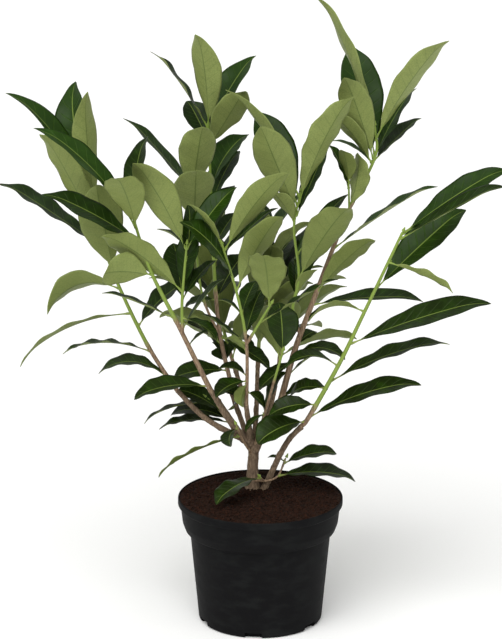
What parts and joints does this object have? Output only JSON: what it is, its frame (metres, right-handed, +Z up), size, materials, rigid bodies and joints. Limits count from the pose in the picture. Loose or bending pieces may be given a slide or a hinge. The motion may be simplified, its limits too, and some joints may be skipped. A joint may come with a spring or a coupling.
{
  "type": "potted cherry laurel",
  "caption": "Young cherry laurel shrub in a black round nursery pot of peat: forked trunk, bare lower boughs and loose upright shoots of long glossy leaves.",
  "frame": {"origin": "middle of the pot's flat underside", "axes": "+Z up along the pot's axis, -Y to the side the picture is taken from, +X to its right"},
  "size_m": [0.677, 0.429, 0.8573],
  "materials": {
    "pot_plastic": "moulded matt black polypropylene, lightly dusty",
    "peat": "damp dark red-brown peat",
    "bark": "young grey-brown bark, green on this year's growth",
    "leaf": "leathery leaf, glossy dark green above and matt pale green below"
  },
  "bodies": {
    "root": {"pot": "pot_plastic", "soil": "peat", "trunk": "bark", "bough_left": "bark", "bough_far_left": "bark", "bough_back": "bark", "bough_front": "bark", "bough_right": "bark", "bough_rear_left": "bark", "bough_rear_middle": "bark", "bough_rear_right": "bark", "stem_right": "bark", "leaves_far_left": "leaf", "leaves_left": "leaf", "leaves_back": "leaf", "leaves_front": "leaf", "leaves_right": "leaf", "leaves_far_right": "leaf", "leaves_low_middle": "leaf", "leaves_low_left": "leaf", "leaves_low_front": "leaf", "leaves_foot": "leaf", "leaves_rear_left": "leaf", "leaves_rear_middle": "leaf", "leaves_rear_right": "leaf"}
  },
  "joints": []
}
